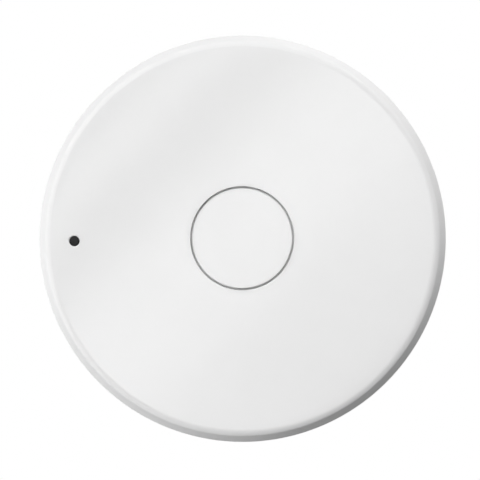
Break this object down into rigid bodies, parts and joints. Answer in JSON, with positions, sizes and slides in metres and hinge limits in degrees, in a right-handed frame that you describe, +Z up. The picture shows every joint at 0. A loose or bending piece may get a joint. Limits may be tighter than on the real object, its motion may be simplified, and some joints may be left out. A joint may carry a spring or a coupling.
{
  "type": "wireless light switch module",
  "caption": "Round white battery wall switch with one central push button, a small status window and a magnetic wall plate.",
  "frame": {"origin": "middle of the adhesive pad's back face, on the wall", "axes": "+Z up on the wall, +X to the right for someone facing the button, -Y out of the wall toward them"},
  "size_m": [0.08, 0.017, 0.08],
  "materials": {
    "white_shell": "satin white moulded plastic",
    "white_button": "satin white moulded plastic",
    "smoked_window": "smoked, polished",
    "white_housing": "fine matte texture",
    "white_door": "fine matte texture",
    "white_plate": "fine matte texture",
    "white_pusher": "fine matte texture",
    "grey_foam": "closed-cell foam under a film",
    "silicone": "translucent matte silicone",
    "zinc_steel": "zinc plated",
    "spring_steel": "drawn wire and sheet",
    "nickel_magnet": "nickel plated",
    "black_screw": "zinc plated, cross recess",
    "green_board": "solder mask over glass fibre",
    "black_switch": "moulded, matte",
    "white_plunger": "moulded, matte",
    "tinned": "tin plated",
    "shield_can": "tin plated sheet",
    "black_chip": "moulded package",
    "ceramic_chip": "fired ceramic",
    "tan_capacitor": "fired ceramic",
    "black_resistor": "glazed",
    "yellow_capacitor": "moulded package",
    "led_resin": "clear resin over white",
    "bronze_contact": "phosphor bronze, nickel flash",
    "cell_steel": "nickel plated steel",
    "cell_seal": "moulded ring",
    "cell_filling": "pressed pellet and metal disc"
  },
  "bodies": {
    "wall": {"wall_plate": "white_plate", "adhesive_pad": "grey_foam", "keeper_discs": "zinc_steel"},
    "puck": {"front_cover": "white_shell", "rear_housing": "white_housing", "housing_screws": "black_screw", "housing_magnets": "nickel_magnet", "grip_pads": "silicone", "return_spring": "spring_steel", "led_lens": "smoked_window", "status_led": "led_resin", "circuit_board": "green_board", "switch_body": "black_switch", "switch_frame": "tinned", "switch_dome": "spring_steel", "switch_terminals": "tinned", "pairing_switch_body": "black_switch", "pairing_switch_frame": "tinned", "pairing_switch_dome": "spring_steel", "pairing_switch_terminals": "tinned", "radio_shield": "shield_can", "radio_chip": "black_chip", "crystal": "shield_can", "chip_antenna": "ceramic_chip", "chip_capacitors": "tan_capacitor", "chip_resistors": "black_resistor", "bulk_capacitor": "yellow_capacitor", "cell_can": "cell_steel", "cell_core": "cell_filling", "cell_gasket": "cell_seal", "cell_cap": "cell_steel", "contact_negative": "bronze_contact", "contact_positive": "bronze_contact"},
    "button": {"button_cap": "white_button"},
    "main_plunger": {"switch_plunger": "white_plunger"},
    "pairing_pusher": {"pairing_button": "white_pusher"},
    "pairing_stem": {"pairing_plunger": "white_plunger"},
    "door": {"battery_door": "white_door"}
  },
  "joints": [
    {"name": "puck_lift", "type": "slide", "parent": "wall", "child": "puck", "axis": [0, -1, 0], "range_m": [0, 0.03]},
    {"name": "button_press", "type": "slide", "parent": "puck", "child": "button", "axis": [0, 1, 0], "range_m": [0, 0.0005], "stiffness_N_per_m": 3000, "springref_m": -0.0003, "deforming": ["return_spring"]},
    {"name": "plunger_press", "type": "slide", "parent": "puck", "child": "main_plunger", "axis": [0, 1, 0], "range_m": [0, 0.0005], "deforming": ["switch_dome"]},
    {"name": "pairing_press", "type": "slide", "parent": "puck", "child": "pairing_pusher", "axis": [0, -1, 0], "range_m": [0, 0.00025], "stiffness_N_per_m": 4000, "springref_m": -0.00015},
    {"name": "pairing_plunger_press", "type": "slide", "parent": "puck", "child": "pairing_stem", "axis": [0, -1, 0], "range_m": [0, 0.00025], "deforming": ["pairing_switch_dome"]},
    {"name": "battery_door_twist", "type": "hinge", "parent": "puck", "child": "door", "pos_m": [0, -0.0029, 0], "axis": [0, 1, 0], "range_deg": [0, 30]}
  ],
  "couplings": [
    {"joint": "plunger_press", "follows": "button_press", "ratio": 1},
    {"joint": "pairing_plunger_press", "follows": "pairing_press", "ratio": 1}
  ]
}
